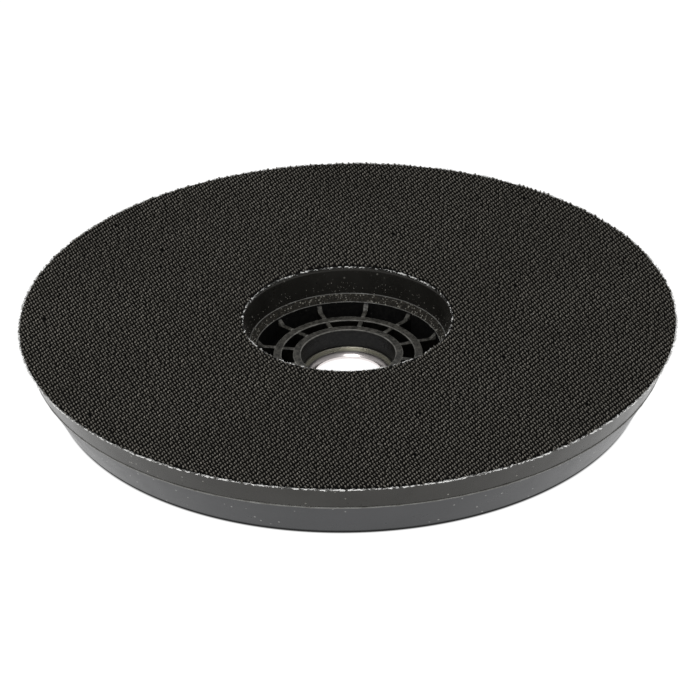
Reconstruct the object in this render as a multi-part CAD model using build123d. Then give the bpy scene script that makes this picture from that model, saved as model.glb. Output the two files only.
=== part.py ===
"""Hook-and-loop sanding drive disc for a floor orbital sander, lying on its back, hook face up.

Millimetres, +Z up. The origin is on the disc's axis in the plane of the back rim that it rests on.
Each function below makes one physical piece, and each piece is written to its own STEP file.
"""

import os

from build123d import *

# Disc envelope
DISC_R = 200.0  # hook face
HEIGHT = 44.0  # back rim to hook tips
CENTRE_HOLE_R = 64.0  # centre hole at the hook face

# Layers, as heights above the back rim
FACING_THICKNESS = 2.0
FACING_BOND_THICKNESS = 0.3
PAD_BASE_Z = 26.0  # underside of the elastomer pad
PAD_BOND_THICKNESS = 0.5
PAD_BASE_OUTER_R = 192.8
PAD_BASE_HOLE_R = 60.2

# Moulded backing plate
BACK_RIM_R = 178.4  # outside of the skirt at the back rim
SKIRT_WALL = 5.5
BACK_EDGE_ROUND = 2.0
DECK_THICKNESS = 4.5
RIM_EDGE_Z = 22.0  # lower end of the chamfer round the centre well
RIM_EDGE_R = 56.6
WELL_WALL = 4.4
CHAMFER_FLASH = 0.3  # bond that covers the chamfer, measured across it

# Ribbed hub in the centre well
HUB_TOP_Z = 18.0
HUB_WEB_Z = 7.0  # top of the closed web behind the pockets
HUB_BORE_TOP_R = 29.0
HUB_BORE_BASE_R = 28.0
HUB_RING_OUTER_R = 33.7
MID_RING_INNER_R = 40.7
MID_RING_OUTER_R = 45.6
HUB_RIBS = 12
HUB_RIB_THICKNESS = 2.8
HUB_RIB_PHASE = 18.0  # degrees from +X
GUSSET_LENGTH = 4.5
GUSSET_TOP_Z = RIM_EDGE_Z - 0.6
TOP_EDGE_ROUND = 0.6

# Ribs under the deck, open to the back
BACK_RIBS = 36
BACK_RIB_THICKNESS = 2.6
BACK_RING_RADII = (119.0, 149.0)
BACK_RING_WALL = 3.0
BACK_RIB_Z = 1.0  # ribs and rings stop short of the floor

# Steel drive flange, let into the back
FLANGE_R = 86.0
FLANGE_BASE_Z = 0.8
FLANGE_THICKNESS = 3.0
FLANGE_TOP_Z = FLANGE_BASE_Z + FLANGE_THICKNESS
FLANGE_GAP = 0.5
LIP_OUTER_R = 90.0
SEAT_INNER_R = 82.5

# Bayonet windows that take the machine's three lugs
WINDOWS = 3
WINDOW_INNER_R = 63.5
WINDOW_OUTER_R = 80.5
WINDOW_ARC = 24.0
TAIL_INNER_R = 66.5
TAIL_OUTER_R = 77.5
TAIL_ARC = 19.0

# Flange fasteners
SCREWS = 6
SCREW_CIRCLE_R = 72.5
SCREW_R = 3.0
SCREW_HEAD_R = 6.0
SCREW_LENGTH = 14.0
SCREW_HEX_AF = 4.0
SCREW_HEX_DEPTH = 2.0
COUNTERSINK_DEPTH = 2.9
HEAD_SINK = 0.1  # head face below the flange face
INSERT_R = 4.2
INSERT_LENGTH = 10.0
INSERT_FLUTES = 4
THREAD_CLEARANCE = 0.05
BOSS_R = 7.5
BOSS_HOLE_TOP_Z = 16.5

# Steel centring ring round the spindle hole
PILOT_R = 21.0
RING_OUTER_R = 27.9
RING_BASE_Z = 2.0
RING_TOP_Z = 6.8
RING_LIP_R = 25.4
RING_LIP_Z = 5.2
RING_LAND_TOP_Z = 3.4
LEAD_IN_MIDDLE = (22.4, 4.75)
RING_GROOVE_R = (25.9, 27.1)
RING_GROOVE_Z = 4.9
LEDGE_R = 26.0  # flange hole under the ring

FACING_BASE_Z = HEIGHT - FACING_THICKNESS
PAD_TOP_Z = FACING_BASE_Z - FACING_BOND_THICKNESS
DECK_TOP_Z = PAD_BASE_Z - PAD_BOND_THICKNESS
DECK_BASE_Z = DECK_TOP_Z - DECK_THICKNESS
WELL_R = RIM_EDGE_R + CHAMFER_FLASH
SECTOR = 360.0 / SCREWS
ROOT = 1.0  # how far ribs and bosses run into the wall that they grow from


def pad_outer_r(z):
    """Radius of the pad's tapered outer wall at height z."""
    return PAD_BASE_OUTER_R + (DISC_R - PAD_BASE_OUTER_R) * (z - PAD_BASE_Z) / (HEIGHT - PAD_BASE_Z)


def pad_hole_r(z):
    """Radius of the pad's tapered centre hole at height z."""
    return PAD_BASE_HOLE_R + (CENTRE_HOLE_R - PAD_BASE_HOLE_R) * (z - PAD_BASE_Z) / (HEIGHT - PAD_BASE_Z)


def skirt_r(z):
    """Radius of the backing plate's conical skirt at height z."""
    return BACK_RIM_R + (PAD_BASE_OUTER_R - BACK_RIM_R) * z / PAD_BASE_Z


def turned(*points):
    """Solid of revolution about Z from an outline of (radius, height) points."""
    outline = Plane.XZ * make_face(Polyline(*points, close=True))
    return revolve(outline, axis=Axis.Z)


def ring(inner_r, outer_r, low_z, high_z):
    """Plain ring about Z."""
    return turned((inner_r, low_z), (outer_r, low_z), (outer_r, high_z), (inner_r, high_z))


def radial_rib(inner_r, outer_r, low_z, high_z, thickness):
    """Flat rib that stands along +X."""
    rib = Box(
        outer_r - inner_r,
        thickness,
        high_z - low_z,
        align=(Align.MIN, Align.CENTER, Align.MIN),
    )
    return Pos(inner_r, 0, low_z) * rib


def turned_copies(piece, count):
    """Evenly spaced copies about Z, the first one in line with the first hub rib."""
    return [Rot(0, 0, HUB_RIB_PHASE + 360.0 / count * i) * piece for i in range(count)]


def ring_sector(inner_r, outer_r, low_z, high_z, start, arc):
    """Block between two radii over an arc in degrees, starting at an angle."""
    outline = make_face(
        Polyline((inner_r, low_z), (outer_r, low_z), (outer_r, high_z), (inner_r, high_z), close=True)
    )
    return Rot(0, 0, start) * revolve(Plane.XZ * outline, axis=Axis.Z, revolution_arc=arc)


def upright(radius, low_z, high_z):
    """Cylinder on Z between two heights."""
    align = (Align.CENTER, Align.CENTER, Align.MIN)
    return Pos(0, 0, low_z) * Cylinder(radius, high_z - low_z, align=align)


def screw_angles():
    """Angles of the flange screws, in line with every second hub rib."""
    return [HUB_RIB_PHASE + SECTOR * i for i in range(SCREWS)]


def window_angles():
    """Angles of the bayonet windows' centres, each midway between two screws."""
    return [HUB_RIB_PHASE + SECTOR * (2 * i + 0.5) for i in range(WINDOWS)]


def on_screw_circle(piece):
    """One copy of a piece modelled on Z at each screw position."""
    return [Rot(0, 0, a) * Pos(SCREW_CIRCLE_R, 0, 0) * piece for a in screw_angles()]


def hook_facing():
    """Woven hook sheet, flat on top, cut to the pad's taper."""
    return turned(
        (pad_hole_r(FACING_BASE_Z), FACING_BASE_Z),
        (pad_outer_r(FACING_BASE_Z), FACING_BASE_Z),
        (DISC_R, HEIGHT),
        (CENTRE_HOLE_R, HEIGHT),
    )


def facing_bond():
    """Adhesive film under the hook sheet."""
    return turned(
        (pad_hole_r(PAD_TOP_Z), PAD_TOP_Z),
        (pad_outer_r(PAD_TOP_Z), PAD_TOP_Z),
        (pad_outer_r(FACING_BASE_Z), FACING_BASE_Z),
        (pad_hole_r(FACING_BASE_Z), FACING_BASE_Z),
    )


def cushion_pad():
    """Elastomer pad with tapered walls."""
    return turned(
        (PAD_BASE_HOLE_R, PAD_BASE_Z),
        (PAD_BASE_OUTER_R, PAD_BASE_Z),
        (pad_outer_r(PAD_TOP_Z), PAD_TOP_Z),
        (pad_hole_r(PAD_TOP_Z), PAD_TOP_Z),
    )


def pad_bond():
    """Adhesive under the pad, squeezed out over the chamfer round the centre well."""
    return turned(
        (PAD_BASE_HOLE_R + CHAMFER_FLASH, DECK_TOP_Z),
        (PAD_BASE_OUTER_R, DECK_TOP_Z),
        (PAD_BASE_OUTER_R, PAD_BASE_Z),
        (PAD_BASE_HOLE_R, PAD_BASE_Z),
        (RIM_EDGE_R, RIM_EDGE_Z),
        (RIM_EDGE_R + CHAMFER_FLASH, RIM_EDGE_Z - CHAMFER_FLASH),
    )


def circles(solid, **wanted):
    """The solid's circular edges with a given radius or height, to be rounded."""
    found = solid.edges().filter_by(GeomType.CIRCLE)
    if "radius" in wanted:
        found = [e for e in found if abs(e.radius - wanted["radius"]) < 0.01]
    if "height" in wanted:
        found = [e for e in found if abs(e.arc_center.Z - wanted["height"]) < 0.01]
    return found


def plate_shell():
    """Skirt, deck, well wall and hub web of the moulding, as one turned outline."""
    shell = turned(
        (BACK_RIM_R - SKIRT_WALL, 0),
        (BACK_RIM_R, 0),
        (skirt_r(DECK_TOP_Z), DECK_TOP_Z),
        (PAD_BASE_HOLE_R + CHAMFER_FLASH, DECK_TOP_Z),
        (WELL_R, RIM_EDGE_Z - CHAMFER_FLASH),
        (WELL_R, HUB_WEB_Z),
        (HUB_RING_OUTER_R, HUB_WEB_Z),
        (HUB_RING_OUTER_R, HUB_TOP_Z),
        (HUB_BORE_TOP_R, HUB_TOP_Z),
        (HUB_BORE_BASE_R, FLANGE_TOP_Z),
        (WELL_R + WELL_WALL, FLANGE_TOP_Z),
        (WELL_R + WELL_WALL, DECK_BASE_Z),
        (skirt_r(DECK_BASE_Z) - SKIRT_WALL, DECK_BASE_Z),
    )
    shell = fillet(circles(shell, radius=BACK_RIM_R), BACK_EDGE_ROUND)
    return fillet(circles(shell, height=HUB_TOP_Z), TOP_EDGE_ROUND)


def hub_ribbing():
    """Middle ring and radial ribs that stand on the hub web."""
    middle = ring(MID_RING_INNER_R, MID_RING_OUTER_R, HUB_WEB_Z - ROOT, HUB_TOP_Z)
    middle = fillet(circles(middle, height=HUB_TOP_Z), TOP_EDGE_ROUND)
    rib = radial_rib(
        HUB_RING_OUTER_R - 2 * ROOT,
        WELL_R + ROOT,
        HUB_WEB_Z - ROOT,
        HUB_TOP_Z,
        HUB_RIB_THICKNESS,
    )
    long_edges = rib.edges().filter_by(Axis.X).group_by(Axis.Z)[-1]
    rib = fillet(long_edges, TOP_EDGE_ROUND)
    return [middle, *turned_copies(rib, HUB_RIBS), *turned_copies(rib_gusset(), HUB_RIBS)]


def rib_gusset():
    """Triangular gusset from a rib's outer end up the well's wall, as thick as the rib."""
    outline = Polyline(
        (WELL_R - GUSSET_LENGTH, HUB_TOP_Z - ROOT),
        (WELL_R + ROOT, HUB_TOP_Z - ROOT),
        (WELL_R + ROOT, GUSSET_TOP_Z),
        (WELL_R, GUSSET_TOP_Z),
        close=True,
    )
    return extrude(Plane.XZ * make_face(outline), HUB_RIB_THICKNESS / 2, both=True)


def back_ribbing():
    """Rings and radial ribs under the deck, outside the flange."""
    rings = [
        ring(r - BACK_RING_WALL, r, BACK_RIB_Z, DECK_BASE_Z + ROOT) for r in BACK_RING_RADII
    ]
    rib = radial_rib(
        LIP_OUTER_R - ROOT,
        BACK_RIM_R - SKIRT_WALL + ROOT,
        BACK_RIB_Z,
        DECK_BASE_Z + ROOT,
        BACK_RIB_THICKNESS,
    )
    return [*rings, *turned_copies(rib, BACK_RIBS)]


def flange_seat():
    """Stepped ring that the flange is let into, its screw bosses, and the ribs between them."""
    seat = turned(
        (SEAT_INNER_R, FLANGE_TOP_Z),
        (FLANGE_R + FLANGE_GAP, FLANGE_TOP_Z),
        (FLANGE_R + FLANGE_GAP, 0),
        (LIP_OUTER_R, 0),
        (LIP_OUTER_R, DECK_BASE_Z + ROOT),
        (SEAT_INNER_R, DECK_BASE_Z + ROOT),
    )
    boss = upright(BOSS_R, FLANGE_TOP_Z, DECK_BASE_Z + ROOT)
    rib = radial_rib(
        WELL_R + WELL_WALL - ROOT,
        SEAT_INNER_R + ROOT,
        FLANGE_TOP_Z,
        DECK_BASE_Z + ROOT,
        BACK_RIB_THICKNESS,
    )
    angles = screw_angles()
    for middle in window_angles():
        angles += [middle + SECTOR * 5 / 6, middle + SECTOR * 7 / 6]
    return [seat, *on_screw_circle(boss), *[Rot(0, 0, a) * rib for a in angles]]


def backing_plate():
    """One moulding: conical skirt, deck, centre well with its ribbed hub, and the ribbed back."""
    body = plate_shell().fuse(*hub_ribbing(), *back_ribbing(), *flange_seat())
    insert_hole = upright(INSERT_R, FLANGE_TOP_Z, BOSS_HOLE_TOP_Z)
    return body.cut(*on_screw_circle(insert_hole))


def drive_flange():
    """Steel disc with a stepped centre hole, three bayonet windows and countersunk screw holes."""
    disc = turned(
        (LEDGE_R, FLANGE_BASE_Z),
        (FLANGE_R - 0.5, FLANGE_BASE_Z),
        (FLANGE_R, FLANGE_BASE_Z + 0.5),
        (FLANGE_R, FLANGE_TOP_Z),
        (RING_OUTER_R, FLANGE_TOP_Z),
        (RING_OUTER_R, RING_BASE_Z),
        (LEDGE_R, RING_BASE_Z),
    )
    low, high = FLANGE_BASE_Z - 1, FLANGE_TOP_Z + 1
    cuts = []
    for middle in window_angles():
        start = middle - (WINDOW_ARC + TAIL_ARC) / 2
        cuts.append(ring_sector(WINDOW_INNER_R, WINDOW_OUTER_R, low, high, start, WINDOW_ARC))
        tail_start = start + WINDOW_ARC - 1
        cuts.append(ring_sector(TAIL_INNER_R, TAIL_OUTER_R, low, high, tail_start, TAIL_ARC + 1))
    return disc.cut(*cuts, *on_screw_circle(screw_clearance()))


def screw_clearance():
    """Countersunk clearance hole through the flange, on Z."""
    sink_r = SCREW_HEAD_R + 0.3
    hole_r = SCREW_R + 0.3
    sink_top_z = FLANGE_BASE_Z + COUNTERSINK_DEPTH
    return turned(
        (0, FLANGE_BASE_Z - 1),
        (sink_r, FLANGE_BASE_Z - 1),
        (sink_r, FLANGE_BASE_Z + 0.1),
        (hole_r, sink_top_z),
        (hole_r, FLANGE_TOP_Z + 1),
        (0, FLANGE_TOP_Z + 1),
    )


def flange_screw():
    """One countersunk socket screw on Z, head down."""
    face_z = FLANGE_BASE_Z + HEAD_SINK
    screw = turned(
        (0, face_z),
        (SCREW_HEAD_R - 0.2, face_z),
        (SCREW_HEAD_R - 0.2, face_z + 0.2),
        (SCREW_R, face_z + COUNTERSINK_DEPTH),
        (SCREW_R, face_z + SCREW_LENGTH - 0.6),
        (SCREW_R - 0.6, face_z + SCREW_LENGTH),
        (0, face_z + SCREW_LENGTH),
    )
    socket_outline = Pos(0, 0, face_z) * RegularPolygon(SCREW_HEX_AF / 2, 6, major_radius=False)
    return screw - extrude(socket_outline, SCREW_HEX_DEPTH)


def thread_insert():
    """One threaded insert on Z, with grooves round it for the plastic to grip."""
    base_z = FLANGE_TOP_Z
    top_z = base_z + INSERT_LENGTH
    bore_r = SCREW_R + THREAD_CLEARANCE
    outline = [(bore_r, base_z), (INSERT_R, base_z)]
    pitch = INSERT_LENGTH / (2 * INSERT_FLUTES)
    for i in range(1, INSERT_FLUTES):
        groove_z = base_z + 2 * pitch * i
        outline += [
            (INSERT_R, groove_z - pitch / 2),
            (INSERT_R - 0.4, groove_z - pitch / 2),
            (INSERT_R - 0.4, groove_z + pitch / 2),
            (INSERT_R, groove_z + pitch / 2),
        ]
    outline += [(INSERT_R, top_z), (bore_r, top_z)]
    return turned(*outline)


def centring_ring():
    """Turned steel ring: grooved top edge, wide rounded lead-in, and the land that locates the spindle."""
    groove_in, groove_out = RING_GROOVE_R
    outline = [
        Line((PILOT_R, RING_BASE_Z), (PILOT_R, RING_LAND_TOP_Z)),
        ThreePointArc(
            (PILOT_R, RING_LAND_TOP_Z),
            LEAD_IN_MIDDLE,
            (RING_LIP_R, RING_LIP_Z),
        ),
        Polyline(
            (RING_LIP_R, RING_LIP_Z),
            (groove_in, RING_GROOVE_Z),
            (groove_out, RING_GROOVE_Z),
            (groove_out, RING_TOP_Z),
            (RING_OUTER_R, RING_TOP_Z),
            (RING_OUTER_R, RING_BASE_Z),
            (PILOT_R, RING_BASE_Z),
        ),
    ]
    return revolve(Plane.XZ * make_face(outline), axis=Axis.Z)


PIECES = {
    "hook_facing": hook_facing(),
    "facing_bond": facing_bond(),
    "cushion_pad": cushion_pad(),
    "pad_bond": pad_bond(),
    "backing_plate": backing_plate(),
    "drive_flange": drive_flange(),
    "flange_screws": Compound(on_screw_circle(flange_screw())),
    "thread_inserts": Compound(on_screw_circle(thread_insert())),
    "centring_ring": centring_ring(),
}

os.makedirs("parts", exist_ok=True)
for name, piece in PIECES.items():
    export_step(piece, f"parts/{name}.step")
    print(name, round(piece.volume / 1000, 1), "cm3")
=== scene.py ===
"""Looks of the sanding drive disc: woven hooks, frayed cut edges, skinned pad, glue and turned steel.

Everything is in metres, in the CAD frame: the disc lies on its back on z = 0 with its hook face up.
"""

import math

import bpy
import numpy as np
from mathutils import Matrix, Vector


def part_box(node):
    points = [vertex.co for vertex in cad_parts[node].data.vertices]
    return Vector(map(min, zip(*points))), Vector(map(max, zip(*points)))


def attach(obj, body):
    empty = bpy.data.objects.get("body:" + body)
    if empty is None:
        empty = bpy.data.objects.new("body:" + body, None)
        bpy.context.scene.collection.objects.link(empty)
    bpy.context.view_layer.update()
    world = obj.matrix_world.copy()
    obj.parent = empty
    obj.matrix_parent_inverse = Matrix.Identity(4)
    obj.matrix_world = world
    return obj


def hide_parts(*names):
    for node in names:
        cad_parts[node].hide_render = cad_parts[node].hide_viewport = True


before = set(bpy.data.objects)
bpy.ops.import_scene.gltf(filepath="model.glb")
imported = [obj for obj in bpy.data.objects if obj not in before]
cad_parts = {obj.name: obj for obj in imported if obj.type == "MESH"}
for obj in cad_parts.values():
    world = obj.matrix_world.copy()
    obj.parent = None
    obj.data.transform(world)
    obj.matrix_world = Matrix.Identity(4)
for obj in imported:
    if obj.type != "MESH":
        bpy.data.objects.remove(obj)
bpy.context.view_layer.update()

MM = 0.001
BODY = "root"
RANDOM = np.random.default_rng(7)

# Places taken from the frame
facing_low, facing_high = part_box("hook_facing")
pad_low, pad_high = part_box("cushion_pad")
bond_low, bond_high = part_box("pad_bond")
DISC_R = facing_high.x
FACE_Z = facing_high.z
FACING_BASE_Z = facing_low.z
PAD_BASE_Z = pad_low.z
PAD_TOP_Z = pad_high.z
PAD_BASE_OUTER_R = bond_high.x
RIM_EDGE_Z = bond_low.z

# Sizes of the real pieces that the frame only outlines
CENTRE_HOLE_R = 64.0 * MM
PAD_BASE_HOLE_R = 60.2 * MM
RIM_EDGE_R = 56.6 * MM
BACK_RIM_R = 178.4 * MM
HUB_TOP_Z = 18.0 * MM
SPINDLE_HOLE_R = 21.0 * MM
RING_LIP_R = 25.4 * MM
RING_EDGES_R = (29.0 * MM, 33.7 * MM, 40.7 * MM, 45.6 * MM)
CLOTH_THICKNESS = 0.5 * MM
HOOK_WIDTH = 0.86 * MM
HOOK_THICKNESS = 0.42 * MM
HOOK_CURL_R = 0.78 * MM
HOOK_TIP = 0.25 * MM
HOOK_NARROWING = 0.93
HOOK_SPACING = 2.23 * MM
ROW_SPACING = 3.13 * MM
ALONG_ROWS = math.radians(53.4)
ACROSS_ROWS = ALONG_ROWS + math.pi / 2
HOOKS_CURL_TOWARD = math.radians(109)
HOOK_CURL_STEPS = 4
HOOK_STRIPS = 6
HOOKS_MISSING = 0.0008
HOOK_TURN_SPREAD = 0.2
HOOK_LEAN_SPREAD = 0.09
SHORTEST_HOOK = 0.86
WEAVE_WAVE_SCALE = 0.3142
PAD_EDGE_R = 0.2 * MM
PAD_WALL_STEPS = 12
GLUE_BEAD = 0.35 * MM
GLUE_BAND_STEPS = 9
LINT_COUNT = 90
CRUMB_COUNT = 900
CRUMB_CLUSTERS = 26


# ---------------------------------------------------------------- small tools


def start_fresh():
    """Leaves nothing selected, so that an operator acts only on what is added next."""
    if bpy.context.object and bpy.context.object.mode != "OBJECT":
        bpy.ops.object.mode_set(mode="OBJECT")
    bpy.ops.object.select_all(action="DESELECT")


def named(name):
    """Gives the piece just made its name."""
    piece = bpy.context.object
    piece.name = name
    piece.data.name = name
    return piece


def apply_modifier(piece, kind, **settings):
    """Adds one modifier to the piece and applies it."""
    start_fresh()
    bpy.context.view_layer.objects.active = piece
    piece.select_set(True)
    modifier = piece.modifiers.new(kind.title(), kind)
    for key, value in settings.items():
        setattr(modifier, key, value)
    bpy.ops.object.modifier_apply(modifier=modifier.name)
    return piece


def repeat(piece, count, step):
    """Repeats the piece in a line, each copy one step on."""
    apply_modifier(
        piece,
        "ARRAY",
        count=count,
        use_relative_offset=False,
        use_constant_offset=True,
        constant_offset_displace=step,
    )


def corners_of(piece):
    """The mesh's corner points as an array."""
    flat = np.zeros(len(piece.data.vertices) * 3, np.float32)
    piece.data.vertices.foreach_get("co", flat)
    return flat.reshape(-1, 3)


def put_corners(piece, corners):
    """Moves the mesh's corner points."""
    piece.data.vertices.foreach_set("co", corners.astype(np.float32).ravel())
    piece.data.update()


def drop_copies(piece, per_copy, keep):
    """Deletes the copies in an array that aren't kept."""
    start_fresh()
    bpy.context.view_layer.objects.active = piece
    piece.select_set(True)
    bpy.ops.object.mode_set(mode="EDIT")
    bpy.ops.mesh.select_all(action="DESELECT")
    bpy.ops.object.mode_set(mode="OBJECT")
    piece.data.vertices.foreach_set("select", np.repeat(~keep, per_copy))
    bpy.ops.object.mode_set(mode="EDIT")
    bpy.ops.mesh.delete(type="VERT")
    bpy.ops.object.mode_set(mode="OBJECT")


def turned_ring(name, outline, segments):
    """Closed ring: a circle drawn out along an outline of (radius, height) points."""
    start_fresh()
    radius, height = outline[0]
    bpy.ops.mesh.primitive_circle_add(vertices=segments, radius=radius, location=(0, 0, height))
    piece = named(name)
    bpy.ops.object.transform_apply(location=True)
    bpy.ops.object.mode_set(mode="EDIT")
    bpy.ops.mesh.select_all(action="SELECT")
    for (r0, z0), (r1, z1) in zip(outline, outline[1:] + outline[:1]):
        bpy.ops.mesh.extrude_edges_move(TRANSFORM_OT_translate={"value": (0, 0, z1 - z0)})
        bpy.ops.transform.resize(value=(r1 / r0, r1 / r0, 1), center_override=(0, 0, z1))
    bpy.ops.mesh.select_all(action="SELECT")
    bpy.ops.mesh.remove_doubles(threshold=0.00001)
    bpy.ops.mesh.normals_make_consistent(inside=False)
    bpy.ops.object.mode_set(mode="OBJECT")
    bpy.ops.object.shade_smooth_by_angle(angle=math.radians(40))
    return piece


def stepped(start, end, steps):
    """Points from start towards end, without the end itself."""
    return [
        (start[0] + (end[0] - start[0]) * i / steps, start[1] + (end[1] - start[1]) * i / steps)
        for i in range(steps)
    ]


def roughen(piece, size, depth, name):
    """Swells and dents the piece by a cloudy pattern: size of the lumps, depth of the relief."""
    clouds = bpy.data.textures.new(name, "CLOUDS")
    clouds.noise_scale = size
    clouds.noise_depth = 2
    apply_modifier(
        piece, "DISPLACE", texture=clouds, texture_coords="LOCAL", strength=depth, mid_level=0.5
    )


def wears(piece, material):
    """Gives the piece its material and the body that it rides on."""
    piece.data.materials.clear()
    piece.data.materials.append(material)
    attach(piece, BODY)
    return piece


# ---------------------------------------------------------------- node patterns


class Finish:
    """One procedural material and the few node patterns that the finishes share."""

    def __init__(self, name, roughness, metallic=0.0, **sockets):
        self.material = bpy.data.materials.new(name)
        self.material.use_nodes = True
        self.tree = self.material.node_tree
        self.shader = self.tree.nodes["Principled BSDF"]
        self.shader.inputs["Roughness"].default_value = roughness
        self.shader.inputs["Metallic"].default_value = metallic
        for socket, value in sockets.items():
            self.shader.inputs[socket.replace("_", " ")].default_value = value
        self.place = self.tree.nodes.new("ShaderNodeTexCoord").outputs["Object"]

    def node(self, kind, **settings):
        made = self.tree.nodes.new(kind)
        for key, value in settings.items():
            setattr(made, key, value)
        return made

    def join(self, source, target):
        self.tree.links.new(source, target)

    def turned_place(self, angle=0.0, stretch=(1, 1, 1)):
        """Object coordinates turned about the disc's axis and stretched."""
        mapping = self.node("ShaderNodeMapping")
        mapping.inputs["Rotation"].default_value = (0, 0, angle)
        mapping.inputs["Scale"].default_value = stretch
        self.join(self.place, mapping.inputs["Vector"])
        return mapping.outputs["Vector"]

    def noise(self, scale, detail=3.0, roughness=0.55, place=None):
        """Cloudy pattern, in features per metre."""
        made = self.node("ShaderNodeTexNoise")
        made.inputs["Scale"].default_value = scale
        made.inputs["Detail"].default_value = detail
        made.inputs["Roughness"].default_value = roughness
        self.join(place or self.place, made.inputs["Vector"])
        return made.outputs["Fac"]

    def specks(self, scale, size, edge=0.1):
        """Round spots: one where a cell's centre is nearer than size, nothing between."""
        cells = self.node("ShaderNodeTexVoronoi")
        cells.inputs["Scale"].default_value = scale
        self.join(self.place, cells.inputs["Vector"])
        return self.steps(cells.outputs["Distance"], (0, 1), (size, 1), (size + edge, 0))

    def steps(self, value, *stops):
        """Value through a ramp of (position, grey) stops."""
        ramp = self.node("ShaderNodeValToRGB")
        ramp.color_ramp.elements[0].position, grey = stops[0]
        ramp.color_ramp.elements[0].color = (grey, grey, grey, 1)
        ramp.color_ramp.elements[1].position, grey = stops[-1]
        ramp.color_ramp.elements[1].color = (grey, grey, grey, 1)
        for position, grey in stops[1:-1]:
            ramp.color_ramp.elements.new(position).color = (grey, grey, grey, 1)
        self.join(value, ramp.inputs["Fac"])
        return ramp.outputs["Color"]

    def combine(self, first, second, operation="MULTIPLY"):
        """One sum of two values, each an output or a number."""
        made = self.node("ShaderNodeMath", operation=operation)
        for value, socket in ((first, made.inputs[0]), (second, made.inputs[1])):
            if isinstance(value, (int, float)):
                socket.default_value = value
            else:
                self.join(value, socket)
        return made.outputs[0]

    def blend(self, share, low, high):
        """Colour between two colours, or colour outputs, by a share."""
        mix = self.node("ShaderNodeMix", data_type="RGBA")
        self.join(share, mix.inputs["Factor"])
        colour_inputs = [socket for socket in mix.inputs if socket.type == "RGBA"]
        for value, socket in zip((low, high), colour_inputs):
            if isinstance(value, tuple):
                socket.default_value = (*value, 1)
            else:
                self.join(value, socket)
        return [socket for socket in mix.outputs if socket.type == "RGBA"][0]

    def paint(self, colour):
        self.join(colour, self.shader.inputs["Base Color"])

    def heights(self, low, high):
        """Share from 0 at one height to 1 at another."""
        split = self.node("ShaderNodeSeparateXYZ")
        self.join(self.place, split.inputs["Vector"])
        return self.ranged(split.outputs["Z"], low, high)

    def radii(self, low, high):
        """Share from 0 at one radius from the disc's axis to 1 at another."""
        flat = self.node("ShaderNodeVectorMath", operation="MULTIPLY")
        flat.inputs[1].default_value = (1, 1, 0)
        self.join(self.place, flat.inputs[0])
        radius = self.node("ShaderNodeVectorMath", operation="LENGTH")
        self.join(flat.outputs["Vector"], radius.inputs[0])
        return self.ranged(radius.outputs["Value"], low, high)

    def ranged(self, value, low, high):
        """Value from 0 at low to 1 at high, and no further."""
        spread = self.node("ShaderNodeMapRange")
        spread.inputs["From Min"].default_value = low
        spread.inputs["From Max"].default_value = high
        self.join(value, spread.inputs["Value"])
        return spread.outputs["Result"]

    def shine(self, share, low, high):
        """Roughness between two values by a share."""
        spread = self.node("ShaderNodeMapRange")
        spread.clamp = False
        spread.inputs["To Min"].default_value = low
        spread.inputs["To Max"].default_value = high
        self.join(share, spread.inputs["Value"])
        self.join(spread.outputs["Result"], self.shader.inputs["Roughness"])

    def relief(self, height, depth):
        """Bump of a height pattern, depth in metres."""
        bump = self.node("ShaderNodeBump")
        bump.inputs["Distance"].default_value = depth
        bump.inputs["Strength"].default_value = 1.0
        self.join(height, bump.inputs["Height"])
        previous = self.shader.inputs["Normal"]
        if previous.is_linked:
            self.join(previous.links[0].from_socket, bump.inputs["Normal"])
        self.join(bump.outputs["Normal"], previous)


# ---------------------------------------------------------------- camera, floor and light

VIEW_ELEVATION = 29.66
VIEW_DISTANCE = 16.7435 * DISC_R
VIEW_LENS = 284.9
VIEW_TILT = -0.332
VIEW_ROLL = -1.048
WALL_LIGHT = 0.85
CEILING_LIGHT = 0.22


def place_camera():
    """Long lens from the front, about thirty degrees above the floor."""
    elevation = math.radians(VIEW_ELEVATION)
    back = Vector((0, -math.cos(elevation), math.sin(elevation)))
    camera = bpy.data.objects.new("camera", bpy.data.cameras.new("camera"))
    bpy.context.scene.collection.objects.link(camera)
    camera.data.lens = VIEW_LENS
    camera.data.sensor_width = 36
    camera.data.clip_end = 50
    aim = (-back).to_track_quat("-Z", "Y").to_matrix()
    tilt = Matrix.Rotation(math.radians(VIEW_TILT), 3, "X")
    roll = Matrix.Rotation(math.radians(VIEW_ROLL), 3, "Z")
    camera.location = Vector((0, 0, FACE_Z)) + back * VIEW_DISTANCE
    camera.rotation_euler = (aim @ tilt @ roll).to_euler()
    bpy.context.scene.camera = camera


def lay_floor():
    """White floor that glows like a light table, round the disc and under its hole only; left unlit under
    the disc as a painted shadow, whose edge just past the back rim is a painted contact shadow.
    """
    start_fresh()
    bpy.ops.mesh.primitive_plane_add(size=30)
    floor = named("floor")
    white = Finish("floor_white", 1.0, Base_Color=(0.1, 0.1, 0.1, 1), Emission_Color=(1, 1, 1, 1))
    # Painted shadow: no glow under the disc, fading in from just inside to just past the back rim as a
    # painted contact shadow
    glow_past_painted_rim_shadow = white.radii(BACK_RIM_R - 0.5 * MM, BACK_RIM_R + 1 * MM)
    through = white.radii(SPINDLE_HOLE_R + 6 * MM, SPINDLE_HOLE_R + 4 * MM)
    white.join(white.combine(glow_past_painted_rim_shadow, through, "MAXIMUM"), white.shader.inputs["Emission Strength"])
    floor.data.materials.append(white.material)


def soft_box(name, place, size, power):
    """Square area light that points at the disc."""
    lamp = bpy.data.lights.new(name, "AREA")
    lamp.size = size
    lamp.energy = power
    box = bpy.data.objects.new(name, lamp)
    bpy.context.scene.collection.objects.link(box)
    box.location = place
    box.rotation_euler = (-Vector(place)).to_track_quat("-Z", "Y").to_euler()


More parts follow.
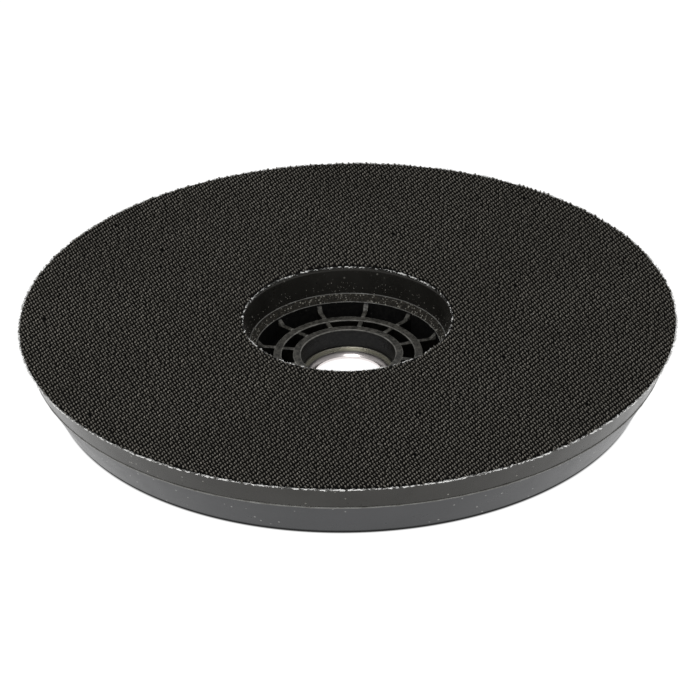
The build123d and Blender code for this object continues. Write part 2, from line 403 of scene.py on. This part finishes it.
def light_studio():
    """Room with white walls and a dimmer ceiling, and one soft box in front and above."""
    world = bpy.data.worlds.new("white_room")
    world.use_nodes = True
    nodes, links = world.node_tree.nodes, world.node_tree.links
    split = nodes.new("ShaderNodeSeparateXYZ")
    ramp = nodes.new("ShaderNodeValToRGB")
    ramp.color_ramp.elements[0].position = 0.3
    ramp.color_ramp.elements[0].color = (WALL_LIGHT, WALL_LIGHT, WALL_LIGHT, 1)
    ramp.color_ramp.elements[1].position = 0.75
    ramp.color_ramp.elements[1].color = (CEILING_LIGHT, CEILING_LIGHT, CEILING_LIGHT, 1)
    links.new(nodes.new("ShaderNodeTexCoord").outputs["Generated"], split.inputs["Vector"])
    links.new(split.outputs["Z"], ramp.inputs["Fac"])
    links.new(ramp.outputs["Color"], nodes["Background"].inputs["Color"])
    bpy.context.scene.world = world
    bpy.context.scene.view_settings.view_transform = "Standard"
    soft_box("front_key", (-0.25, -0.8, 1.35), 0.7, 10)


# ---------------------------------------------------------------- materials


def hook_nylon():
    """Black polyamide monofilament: near-black low down as painted shade between the hooks, paler towards
    the curls' top as a painted highlight, with dust in patches.
    """
    finish = Finish("hook_nylon", 0.35, IOR=1.53, Specular_Tint=(1.0, 0.92, 0.8, 1))
    patches = finish.steps(finish.noise(14, 4, 0.6), (0.35, 0), (0.7, 1))
    strands = finish.steps(finish.noise(420, 1), (0.3, 0), (0.7, 1))
    # Painted highlight: pale colours for the curls' top, varied strand by strand
    painted_tip_glint = finish.blend(strands, (0.070, 0.066, 0.057), (0.165, 0.156, 0.136))
    dust_and_tip_glint = finish.blend(finish.combine(patches, 0.4), painted_tip_glint, (0.22, 0.209, 0.183))
    # Painted light: near-black towards the cloth as painted shade, pale towards the curls' top as a
    # painted highlight
    heights = finish.heights(FACE_Z - 0.9 * MM, FACE_Z - 0.35 * MM)
    finish.paint(finish.blend(heights, (0.013, 0.0123, 0.0108), dust_and_tip_glint))
    finish.shine(finish.noise(300, 2), 0.25, 0.45)
    return finish.material


def cut_edges(finish):
    """1 within a hair of either cut edge of the cloth, 0 between them."""
    outer = finish.radii(DISC_R - 0.8 * MM, DISC_R - 0.6 * MM)
    inner = finish.radii(CENTRE_HOLE_R + 0.4 * MM, CENTRE_HOLE_R + 0.2 * MM)
    return finish.combine(outer, finish.combine(inner, 0.08), "MAXIMUM")


def woven_ground():
    """Ground weave under the hooks: two sets of yarns on the hooks' lattice, pale at the cuts."""
    finish = Finish("woven_ground", 0.9, Specular_IOR_Level=0.05)
    waves = []
    for angle, spacing in ((ALONG_ROWS, HOOK_SPACING), (ACROSS_ROWS, ROW_SPACING)):
        wave = finish.node("ShaderNodeTexWave", wave_type="BANDS", bands_direction="X")
        wave.inputs["Scale"].default_value = WEAVE_WAVE_SCALE / spacing
        wave.inputs["Distortion"].default_value = 0.4
        finish.join(finish.turned_place(-angle), wave.inputs["Vector"])
        waves.append(wave.outputs["Fac"])
    yarns = finish.combine(*waves)
    weave = finish.blend(yarns, (0.004, 0.0038, 0.0034), (0.012, 0.0114, 0.0102))
    pale = finish.steps(finish.noise(380, 3, 0.7), (0.46, 0), (0.58, 1))
    stiff = finish.blend(pale, (0.03, 0.03, 0.027), (0.55, 0.55, 0.53))
    finish.paint(finish.blend(cut_edges(finish), weave, stiff))
    finish.relief(yarns, 0.3 * MM)
    finish.relief(finish.noise(2500, 2), 0.05 * MM)
    return finish.material


def frayed_yarn():
    """Pale cut ends of the weave, stiff with dried adhesive."""
    finish = Finish("frayed_yarn", 0.6)
    tone = finish.steps(finish.noise(220, 2), (0.35, 0), (0.65, 1))
    finish.paint(finish.blend(tone, (0.16, 0.16, 0.15), (0.85, 0.85, 0.83)))
    finish.relief(finish.noise(4000, 1), 0.03 * MM)
    return finish.material


def matted_yarn():
    """Nearly white matted yarn ends."""
    finish = Finish("matted_yarn", 0.55)
    finish.paint(finish.blend(finish.noise(500, 2), (0.7, 0.7, 0.68), (0.98, 0.98, 0.96)))
    finish.relief(finish.noise(4000, 1), 0.03 * MM)
    return finish.material


def adhesive_film():
    """Dark brown film that shows as a hairline between cloth and pad."""
    finish = Finish("adhesive_film", 0.5)
    tone = finish.noise(120, 3)
    finish.paint(finish.blend(tone, (0.008, 0.0075, 0.006), (0.03, 0.028, 0.023)))
    finish.relief(finish.noise(900, 2), 0.05 * MM)
    return finish.material


def pad_skin():
    """Skinned dark elastomer: satin, mottled, with pin holes painted near-black as painted shade and a
    few pale specks.
    """
    finish = Finish("pad_skin", 0.4, IOR=1.5, Specular_IOR_Level=0.34, Specular_Tint=(1, 0.97, 0.9, 1))
    mottle = finish.steps(finish.noise(45, 5, 0.6), (0.3, 0), (0.7, 1))
    base = finish.blend(mottle, (0.008, 0.0076, 0.0065), (0.015, 0.0144, 0.0128))
    hole_patches = finish.steps(finish.noise(60, 2), (0.5, 0), (0.62, 1))
    holes = finish.combine(finish.specks(260, 0.1, 0.04), hole_patches)
    speck_patches = finish.steps(finish.noise(38, 2), (0.5, 0), (0.58, 1))
    specks = finish.combine(finish.specks(190, 0.095, 0.03), speck_patches)
    # Painted shade: pin holes coloured near-black inside their dents
    holed = finish.blend(holes, base, (0.002, 0.002, 0.002))
    finish.paint(finish.blend(specks, holed, (0.20, 0.195, 0.175)))
    finish.shine(finish.noise(80, 4), 0.16, 0.34)
    finish.relief(finish.noise(1400, 3), 0.02 * MM)
    finish.relief(finish.combine(holes, -1.0), 0.25 * MM)
    return finish.material


def dried_glue():
    """Dark brown glue with pale trapped foam, rough."""
    finish = Finish("dried_glue", 0.55, Specular_IOR_Level=0.2)
    grain = finish.steps(finish.noise(700, 4, 0.7), (0.35, 0), (0.65, 1))
    base = finish.blend(grain, (0.002, 0.0018, 0.0014), (0.038, 0.034, 0.026))
    finish.paint(finish.blend(finish.specks(420, 0.17, 0.08), base, (0.26, 0.25, 0.215)))
    finish.shine(finish.noise(500, 2), 0.35, 0.75)
    finish.relief(grain, 0.3 * MM)
    return finish.material


def glue_painted_highlight():
    """Squeezed-out glue painted pale as a painted highlight line: grey and waxy where it is clean,
    browner where dust has settled.
    """
    finish = Finish("glue_painted_highlight", 0.25)
    dust = finish.steps(finish.noise(160, 4, 0.7), (0.38, 0), (0.6, 1))
    # Painted highlight: both greys are pale so that the bead reads as a bright line
    finish.paint(finish.blend(dust, (0.18, 0.18, 0.17), (0.10, 0.097, 0.088)))
    finish.relief(finish.noise(1500, 2), 0.05 * MM)
    return finish.material


def glue_crumb():
    """Pale crumbs of foam and glue."""
    finish = Finish("glue_crumb", 0.6)
    finish.paint(finish.blend(finish.noise(160, 1), (0.09, 0.086, 0.072), (0.50, 0.48, 0.43)))
    finish.relief(finish.noise(3000, 2), 0.05 * MM)
    return finish.material


def painted_edge_highlights(finish):
    """1 in patches of painted highlight along the edges of the hub tube and the middle ring, 0 elsewhere.
    """
    edges = 0.0
    for edge_r in RING_EDGES_R:
        within = finish.radii(edge_r - 0.6 * MM, edge_r - 0.3 * MM)
        beyond = finish.radii(edge_r + 0.6 * MM, edge_r + 0.3 * MM)
        edges = finish.combine(edges, finish.combine(within, beyond), "MAXIMUM")
    highlight_patches = finish.steps(finish.noise(140, 4, 0.65), (0.36, 0.15), (0.62, 1))
    return finish.combine(edges, highlight_patches)


def moulded_plastic():
    """Satin plastic: scuffed outside, painted shade darkening the skirt towards its back edge; in the
    hub, pockets painted near-black as painted shade, and rib and ring top faces paler with dust and
    painted light, with painted edge highlights.
    """
    finish = Finish(
        "moulded_plastic",
        0.4,
        IOR=1.48,
        Specular_IOR_Level=0.26,
        Specular_Tint=(0.97, 0.98, 1, 1),
    )
    flow = finish.steps(finish.noise(18, 5, 0.6), (0.3, 0), (0.7, 1))
    clean = finish.blend(flow, (0.026, 0.0265, 0.028), (0.034, 0.0345, 0.037))
    scuffed = finish.blend(finish.specks(150, 0.075, 0.02), clean, (0.24, 0.24, 0.23))
    # Painted shade: the skirt turns near-black over its lowest few millimetres, standing in for the
    # floor's contact shadow; roughness rises there too
    painted_rim_shade = finish.heights(2.8 * MM, 1.6 * MM)
    with_painted_dark = finish.blend(painted_rim_shade, scuffed, (0.002, 0.002, 0.002))
    # Painted light: inside the rim the same plastic is near-black below the rib and ring top faces,
    # painted shade in the pockets, and paler on those top faces, dust plus painted light
    hub = finish.radii(RIM_EDGE_R + 2 * MM, RIM_EDGE_R)
    dust = finish.steps(finish.noise(420, 5, 0.75), (0.40, 0), (0.64, 1))
    low = finish.blend(dust, (0.001, 0.001, 0.0008), (0.008, 0.0075, 0.0065))
    tops = finish.blend(dust, (0.018, 0.0176, 0.0155), (0.125, 0.120, 0.106))
    # Painted highlight: pale lines along the tube and ring edges
    edged_tops = finish.blend(painted_edge_highlights(finish), tops, (0.26, 0.255, 0.235))
    above_pockets = finish.heights(HUB_TOP_Z - 0.8 * MM, HUB_TOP_Z - 0.3 * MM)
    inside_wall = finish.radii(RIM_EDGE_R - 0.3 * MM, RIM_EDGE_R - 0.6 * MM)
    hub_tops = finish.combine(above_pockets, inside_wall)
    finish.paint(finish.blend(hub, with_painted_dark, finish.blend(hub_tops, low, edged_tops)))
    dullness = finish.combine(painted_rim_shade, 3.0)
    finish.shine(finish.combine(finish.noise(70, 4), dullness, "ADD"), 0.22, 0.38)
    finish.relief(finish.noise(1800, 3), 0.012 * MM)
    finish.relief(finish.combine(dust, hub), 0.08 * MM)
    return finish.material


def turning_marks(finish, scale):
    """Concentric tool marks about the disc's axis."""
    rings = finish.node("ShaderNodeTexWave", wave_type="RINGS", rings_direction="Z")
    rings.inputs["Scale"].default_value = scale
    rings.inputs["Distortion"].default_value = 0.6
    rings.inputs["Detail"].default_value = 2
    finish.join(finish.place, rings.inputs["Vector"])
    return rings.outputs["Fac"]


def turned_steel():
    """Bright turned steel with fine tool marks and dull smears, darker outside the lip as a painted
    reflection of the dark hub wall, and tinted pink on the bore's lead-in as a painted reflection.
    """
    finish = Finish("turned_steel", 0.25, 1.0)
    smear = finish.steps(finish.noise(90, 4), (0.35, 0), (0.7, 1))
    bright = finish.blend(smear, (0.66, 0.64, 0.56), (0.86, 0.85, 0.80))
    # Painted reflection: darker steel outside the lip, standing in for the dark wall it mirrors
    painted_dark_reflection = finish.radii(RING_LIP_R + 0.3 * MM, RING_LIP_R + 0.9 * MM)
    with_painted_dark = finish.blend(painted_dark_reflection, bright, (0.50, 0.49, 0.43))
    # Painted reflection: pink tint on the bore's lead-in
    lead_in = finish.radii(RING_LIP_R - 0.2 * MM, RING_LIP_R - 0.8 * MM)
    finish.paint(finish.blend(lead_in, with_painted_dark, (0.80, 0.745, 0.735)))
    finish.shine(smear, 0.38, 0.2)
    finish.relief(turning_marks(finish, 900), 0.008 * MM)
    return finish.material


def plated_sheet():
    """Zinc-plated sheet steel, brushed and faintly stained."""
    finish = Finish("plated_sheet", 0.35, 1.0)
    brushed = finish.noise(600, 2, place=finish.turned_place(0.4, (1, 14, 1)))
    stain = finish.steps(finish.noise(30, 5, 0.6), (0.4, 0), (0.75, 1))
    clean = finish.blend(brushed, (0.52, 0.52, 0.50), (0.68, 0.68, 0.66))
    finish.paint(finish.blend(stain, clean, (0.42, 0.40, 0.35)))
    finish.shine(brushed, 0.3, 0.48)
    finish.relief(brushed, 0.006 * MM)
    return finish.material


def screw_zinc():
    """Zinc-plated screw steel, of uneven tone."""
    finish = Finish("screw_zinc", 0.35, 1.0)
    finish.paint(finish.blend(finish.noise(400, 3), (0.40, 0.40, 0.38), (0.62, 0.62, 0.60)))
    finish.relief(finish.noise(2500, 2), 0.01 * MM)
    return finish.material


def turned_brass():
    """Plain brass of the threaded inserts."""
    finish = Finish("turned_brass", 0.32, 1.0)
    finish.paint(finish.blend(finish.noise(300, 3), (0.56, 0.42, 0.18), (0.72, 0.57, 0.28)))
    finish.relief(finish.noise(2500, 2), 0.01 * MM)
    return finish.material


# ---------------------------------------------------------------- pieces


def pad_outer_r(z):
    """Radius of the tapered outer wall at a height."""
    return PAD_BASE_OUTER_R + (DISC_R - PAD_BASE_OUTER_R) * (z - PAD_BASE_Z) / (FACE_Z - PAD_BASE_Z)


def pad_hole_r(z):
    """Radius of the tapered centre hole at a height."""
    return PAD_BASE_HOLE_R + (CENTRE_HOLE_R - PAD_BASE_HOLE_R) * (z - PAD_BASE_Z) / (FACE_Z - PAD_BASE_Z)


def make_cushion_pad():
    """Elastomer pad, slightly uneven on its moulded walls."""
    wall_low, wall_high = PAD_BASE_Z + PAD_EDGE_R, PAD_TOP_Z - PAD_EDGE_R
    outer_low, outer_high = (PAD_BASE_OUTER_R, wall_low), (pad_outer_r(wall_high), wall_high)
    hole_low, hole_high = (PAD_BASE_HOLE_R, wall_low), (pad_hole_r(wall_high), wall_high)
    outline = [
        (PAD_BASE_HOLE_R + PAD_EDGE_R, PAD_BASE_Z),
        (PAD_BASE_OUTER_R - PAD_EDGE_R, PAD_BASE_Z),
        *stepped(outer_low, outer_high, PAD_WALL_STEPS),
        outer_high,
        (pad_outer_r(PAD_TOP_Z) - PAD_EDGE_R, PAD_TOP_Z),
        (pad_hole_r(PAD_TOP_Z) + PAD_EDGE_R, PAD_TOP_Z),
        *stepped(hole_high, hole_low, PAD_WALL_STEPS),
        hole_low,
    ]
    pad = turned_ring("cushion_pad_skin", outline, 720)
    roughen(pad, 0.012, 0.12 * MM, "pad_unevenness")
    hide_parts("cushion_pad")
    return wears(pad, pad_skin())


def make_woven_ground():
    """Ground cloth that the hooks are woven into, with a slightly ragged cut."""
    top = FACING_BASE_Z + CLOTH_THICKNESS
    outline = [
        (pad_hole_r(FACING_BASE_Z), FACING_BASE_Z),
        (pad_outer_r(FACING_BASE_Z), FACING_BASE_Z),
        (pad_outer_r(top), top),
        (pad_outer_r(top) - 0.6 * MM, top),
        (150 * MM, top),
        (125 * MM, top),
        (pad_hole_r(top) + 0.6 * MM, top),
        (pad_hole_r(top), top),
    ]
    cloth = turned_ring("hook_ground_cloth", outline, 1440)
    corners = corners_of(cloth)
    radius = np.hypot(corners[:, 0], corners[:, 1])
    at_edge = (radius > DISC_R - 2 * MM) | (radius < CENTRE_HOLE_R + 1 * MM)
    ragged = RANDOM.normal(0, 0.12 * MM, len(corners)) * at_edge
    corners[:, :2] *= (1 + ragged / radius)[:, None]
    put_corners(cloth, corners)
    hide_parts("hook_facing")
    return wears(cloth, woven_ground())


def bend_one_hook():
    """One hook: a flat strap drawn up from the cloth, curled over along +X and narrowed to its tip."""
    start_fresh()
    base = FACING_BASE_Z + CLOTH_THICKNESS * 0.6
    stem = FACE_Z - HOOK_CURL_R - HOOK_THICKNESS / 2 - base
    bpy.ops.mesh.primitive_plane_add(size=1, location=(0, 0, base))
    hook = named("hook")
    hook.scale = (HOOK_THICKNESS, HOOK_WIDTH, 1)
    bpy.ops.object.transform_apply(location=True, scale=True)
    bpy.ops.object.mode_set(mode="EDIT")
    bpy.ops.mesh.select_all(action="SELECT")
    bpy.ops.mesh.extrude_region_move(TRANSFORM_OT_translate={"value": (0, 0, stem)})
    pivot = (HOOK_CURL_R, 0, base + stem)
    # With no window a rotate operator turns the other way, so both angles are given as negative
    for _ in range(HOOK_CURL_STEPS):
        bpy.ops.mesh.extrude_region_move(TRANSFORM_OT_translate={"value": (0, 0, 0)})
        bpy.ops.transform.rotate(
            value=-math.pi / HOOK_CURL_STEPS,
            orient_axis="Y",
            orient_type="GLOBAL",
            center_override=pivot,
        )
        bpy.ops.transform.resize(value=(1, HOOK_NARROWING, 1), center_override=pivot)
    bpy.ops.mesh.extrude_region_move(TRANSFORM_OT_translate={"value": (0, 0, -HOOK_TIP)})
    bpy.ops.mesh.select_all(action="SELECT")
    bpy.ops.mesh.normals_make_consistent(inside=False)
    bpy.ops.object.mode_set(mode="OBJECT")
    bpy.ops.object.shade_smooth_by_angle(angle=math.radians(50))
    bpy.ops.transform.rotate(
        value=-HOOKS_CURL_TOWARD, orient_axis="Z", orient_type="GLOBAL", center_override=(0, 0, 0)
    )
    bpy.ops.object.transform_apply(rotation=True)
    return hook


def unsettle_hooks(strip, per_hook):
    """Turns, leans and shortens each hook a little, as a used sheet has them."""
    hooks = corners_of(strip).reshape(-1, per_hook, 3)
    count = len(hooks)
    base = hooks[:, :4].mean(1, keepdims=True)
    hooks = hooks - base
    turn = RANDOM.normal(0, HOOK_TURN_SPREAD, count)
    cos, sin = np.cos(turn)[:, None], np.sin(turn)[:, None]
    x, y = hooks[:, :, 0].copy(), hooks[:, :, 1].copy()
    hooks[:, :, 0] = cos * x - sin * y
    hooks[:, :, 1] = sin * x + cos * y
    lean = RANDOM.normal(0, HOOK_LEAN_SPREAD, (count, 1, 2))
    hooks[:, :, :2] += lean * hooks[:, :, 2:]
    hooks[:, :, 2] *= RANDOM.uniform(SHORTEST_HOOK, 1.0, (count, 1))
    put_corners(strip, (hooks + base).reshape(-1, 3))


def weave_hooks():
    """Rows of hooks on the cloth's lattice, in strips of equal width."""
    along = HOOK_SPACING * Vector((math.cos(ALONG_ROWS), math.sin(ALONG_ROWS), 0))
    across = ROW_SPACING * Vector((math.cos(ACROSS_ROWS), math.sin(ACROSS_ROWS), 0))
    in_a_row = 2 * math.ceil(DISC_R / HOOK_SPACING) + 1
    rows = math.ceil(2 * DISC_R / ROW_SPACING / HOOK_STRIPS)
    hook = bend_one_hook()
    per_hook = len(hook.data.vertices)
    nylon = hook_nylon()
    strips = []
    for i in range(HOOK_STRIPS):
        start_fresh()
        strip = hook.copy()
        strip.data = hook.data.copy()
        bpy.context.scene.collection.objects.link(strip)
        strip.name = f"hook_rows_{i + 1}"
        first_row = (i - HOOK_STRIPS / 2) * rows
        start = -along * (in_a_row // 2) + across * first_row
        put_corners(strip, corners_of(strip) + np.array(start))
        repeat(strip, in_a_row, along)
        repeat(strip, rows, across)
        hooks = corners_of(strip).reshape(-1, per_hook, 3)
        radius = np.hypot(hooks[:, :, 0], hooks[:, :, 1])
        on_cloth = (radius.min(1) > CENTRE_HOLE_R) & (radius.max(1) < DISC_R + 0.1 * MM)
        missing = RANDOM.random(len(hooks)) < HOOKS_MISSING
        drop_copies(strip, per_hook, on_cloth & ~missing)
        unsettle_hooks(strip, per_hook)
        strips.append(wears(strip, nylon))
    bpy.data.objects.remove(hook)
    return strips


def fibre(name, length, radius):
    """Short tapered thread along Y, to be scattered."""
    start_fresh()
    bpy.ops.mesh.primitive_cone_add(
        vertices=4, radius1=radius, radius2=radius * 0.5, depth=length, rotation=(math.pi / 2, 0, 0)
    )
    thread = named(name)
    bpy.ops.object.transform_apply(rotation=True)
    bpy.ops.object.mode_set(mode="EDIT")
    bpy.ops.mesh.select_all(action="SELECT")
    bpy.ops.mesh.subdivide(number_cuts=1)
    bpy.ops.object.mode_set(mode="OBJECT")
    bpy.ops.object.shade_smooth()
    return thread


def crumb(name, radius):
    """Small lump, to be scattered."""
    start_fresh()
    bpy.ops.mesh.primitive_ico_sphere_add(subdivisions=1, radius=radius)
    lump = named(name)
    bpy.ops.object.mode_set(mode="EDIT")
    bpy.ops.mesh.select_all(action="SELECT")
    bpy.ops.transform.vertex_random(offset=radius * 0.35, uniform=1.0, seed=3)
    bpy.ops.object.mode_set(mode="OBJECT")
    bpy.ops.object.shade_smooth()
    return lump


def scatter(unit, places, turns, tips, sizes):
    """Copies the unit, and tips, turns, sizes and places each copy."""
    count = len(places)
    repeat(unit, count, Vector((0, 0, 0)))
    copies = corners_of(unit).reshape(count, -1, 3) * sizes[:, None, None]
    x, y, z = (copies[:, :, k].copy() for k in range(3))
    tip_cos, tip_sin = np.cos(tips)[:, None], np.sin(tips)[:, None]
    y, z = tip_cos * y - tip_sin * z, tip_sin * y + tip_cos * z
    turn_cos, turn_sin = np.cos(turns)[:, None], np.sin(turns)[:, None]
    copies = np.stack([turn_cos * x - turn_sin * y, turn_sin * x + turn_cos * y, z], axis=2)
    put_corners(unit, (copies + places[:, None, :]).reshape(-1, 3))
    return unit


def on_circle(angles, radii, heights):
    """Points about the disc's axis."""
    return np.stack([radii * np.cos(angles), radii * np.sin(angles), heights], axis=1)


def clustered_angles(count, clusters, spread):
    """Angles round the disc, half of them even and half in small clusters."""
    even = RANDOM.uniform(0, 2 * math.pi, count // 2)
    middles = RANDOM.uniform(0, 2 * math.pi, clusters)
    grouped = RANDOM.choice(middles, count - count // 2) + RANDOM.normal(0, spread, count - count // 2)
    return np.concatenate([even, grouped])


def fray_edge(name, edge_r, count, clusters, spread):
    """Pale yarn ends that lie along a cut edge of the cloth."""
    angles = clustered_angles(count, clusters, spread)
    radii = edge_r + RANDOM.normal(0, 0.22 * MM, count)
    heights = RANDOM.uniform(FACING_BASE_Z - 0.1 * MM, FACING_BASE_Z + 0.9 * MM, count)
    frays = scatter(
        fibre(name, 1.5 * MM, 0.13 * MM),
        on_circle(angles, radii, heights),
        angles + RANDOM.normal(0, 0.5, count),
        RANDOM.normal(0.05, 0.3, count),
        RANDOM.uniform(0.35, 1.25, count),
    )
    return wears(frays, frayed_yarn())


def tuft_edge(name, edge_r, count, clusters, spread):
    """Thick white tufts where several yarn ends have matted together along a cut edge."""
    angles = clustered_angles(count, clusters, spread)
    tufts = scatter(
        fibre(name, 2.0 * MM, 0.44 * MM),
        on_circle(
            angles,
            edge_r + RANDOM.normal(0, 0.12 * MM, count),
            RANDOM.uniform(FACING_BASE_Z + 0.1 * MM, FACING_BASE_Z + 0.7 * MM, count),
        ),
        angles + RANDOM.normal(0, 0.25, count),
        RANDOM.normal(0.0, 0.15, count),
        RANDOM.uniform(0.4, 1.2, count),
    )
    return wears(tufts, matted_yarn())


def drop_lint():
    """A few pale fibres caught in the hooks."""
    count = LINT_COUNT
    angles = RANDOM.uniform(0, 2 * math.pi, count)
    radii = np.sqrt(RANDOM.uniform(0.36**2, 0.98**2, count)) * DISC_R
    lint = scatter(
        fibre("caught_lint", 1.1 * MM, 0.09 * MM),
        on_circle(angles, radii, np.full(count, FACE_Z - 0.2 * MM)),
        RANDOM.uniform(0, 2 * math.pi, count),
        RANDOM.normal(0, 0.2, count),
        RANDOM.uniform(0.3, 1.0, count),
    )
    return wears(lint, frayed_yarn())


def make_pad_bond():
    """Glue film under the pad, with a bead at each edge of the band that shows in the centre well."""
    bead = GLUE_BEAD
    band_top = (PAD_BASE_HOLE_R - 1.3 * bead, PAD_BASE_Z - 1.6 * bead)
    band_low = (RIM_EDGE_R + bead, RIM_EDGE_Z + 1.2 * bead)
    film_base = PAD_BASE_Z - 0.5 * MM
    outline = [
        (PAD_BASE_OUTER_R - 0.6 * MM, film_base),
        (PAD_BASE_OUTER_R - 0.6 * MM, PAD_BASE_Z),
        (PAD_BASE_HOLE_R + 1 * MM, PAD_BASE_Z),
        (PAD_BASE_HOLE_R, PAD_BASE_Z),
        (PAD_BASE_HOLE_R - bead, PAD_BASE_Z - 0.1 * bead),
        (PAD_BASE_HOLE_R - 1.2 * bead, PAD_BASE_Z - 0.9 * bead),
        *stepped(band_top, band_low, GLUE_BAND_STEPS),
        (RIM_EDGE_R + 0.1 * bead, RIM_EDGE_Z + 1.0 * bead),
        (RIM_EDGE_R - 0.3 * bead, RIM_EDGE_Z + 0.3 * bead),
        (RIM_EDGE_R + 0.3 * MM, RIM_EDGE_Z - 0.3 * MM),
        (PAD_BASE_HOLE_R + 0.3 * MM, film_base),
    ]
    glue = turned_ring("pad_bond_glue", outline, 900)
    roughen(glue, 0.0025, 0.3 * MM, "glue_lumps")
    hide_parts("pad_bond")
    return wears(glue, dried_glue())


def lay_bead(name, radius, height, thickness, ripple):
    """Thin bead of glue round the disc's axis, of uneven thickness, painted pale as a painted highlight
    line.
    """
    start_fresh()
    bpy.ops.mesh.primitive_torus_add(
        major_radius=radius,
        minor_radius=thickness / 2,
        major_segments=900,
        minor_segments=8,
        location=(0, 0, height),
    )
    bead = named(name)
    bpy.ops.object.transform_apply(location=True)
    roughen(bead, ripple, thickness * 0.45, name + "_ripple")
    bpy.ops.object.shade_smooth()
    return wears(bead, glue_painted_highlight())


def stick_crumbs():
    """Crumbs of foam and glue on the band in the centre well and low on the pad's wall."""
    count = CRUMB_COUNT
    angles = clustered_angles(count, CRUMB_CLUSTERS, 0.08)
    share = RANDOM.uniform(-0.7, 1.0, count)
    below = share > 0
    radii = np.where(
        below,
        PAD_BASE_HOLE_R + (RIM_EDGE_R - PAD_BASE_HOLE_R) * share - 0.15 * MM,
        PAD_BASE_HOLE_R - (CENTRE_HOLE_R - PAD_BASE_HOLE_R) * share * 0.6 - 0.05 * MM,
    )
    heights = np.where(
        below,
        PAD_BASE_Z + (RIM_EDGE_Z - PAD_BASE_Z) * share,
        PAD_BASE_Z - (FACE_Z - PAD_BASE_Z) * share * 0.6,
    )
    crumbs = scatter(
        crumb("glue_crumbs", 0.36 * MM),
        on_circle(angles, radii, heights),
        RANDOM.uniform(0, 2 * math.pi, count),
        RANDOM.uniform(0, math.pi, count),
        RANDOM.uniform(0.3, 1.2, count) * np.where(below, 1.0, 0.6),
    )
    return wears(crumbs, glue_crumb())


def finish_cad_nodes():
    """Better materials for the CAD pieces whose shapes stay."""
    looks = {
        "backing_plate": moulded_plastic(),
        "facing_bond": adhesive_film(),
        "centring_ring": turned_steel(),
        "drive_flange": plated_sheet(),
        "flange_screws": screw_zinc(),
        "thread_inserts": turned_brass(),
    }
    for node, material in looks.items():
        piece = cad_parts[node]
        piece.data.materials.clear()
        piece.data.materials.append(material)


place_camera()
lay_floor()
light_studio()
make_cushion_pad()
ground = make_woven_ground()
strips = weave_hooks()
outer_fray = fray_edge("frayed_outer_edge", DISC_R - 0.35 * MM, count=3600, clusters=150, spread=0.012)
hole_fray = fray_edge("frayed_hole_edge", CENTRE_HOLE_R - 0.1 * MM, count=520, clusters=30, spread=0.03)
outer_tufts = tuft_edge("matted_outer_edge", DISC_R + 0.05 * MM, count=760, clusters=120, spread=0.010)
hole_tufts = tuft_edge("matted_hole_edge", CENTRE_HOLE_R - 0.1 * MM, count=230, clusters=46, spread=0.018)
lint = drop_lint()
make_pad_bond()
# Beads painted pale as painted highlight lines at the pad's foot and at the well band's edges
lay_bead("outer_glue_bead", PAD_BASE_OUTER_R - 0.25 * MM, PAD_BASE_Z - 0.1 * MM, 1.2 * MM, 0.004)
lay_bead("band_top_bead", PAD_BASE_HOLE_R - 0.2 * MM, PAD_BASE_Z, 0.7 * MM, 0.003)
lay_bead("band_rim_bead", RIM_EDGE_R + 0.1 * MM, RIM_EDGE_Z + 0.2 * MM, 0.6 * MM, 0.003)
stick_crumbs()
finish_cad_nodes()
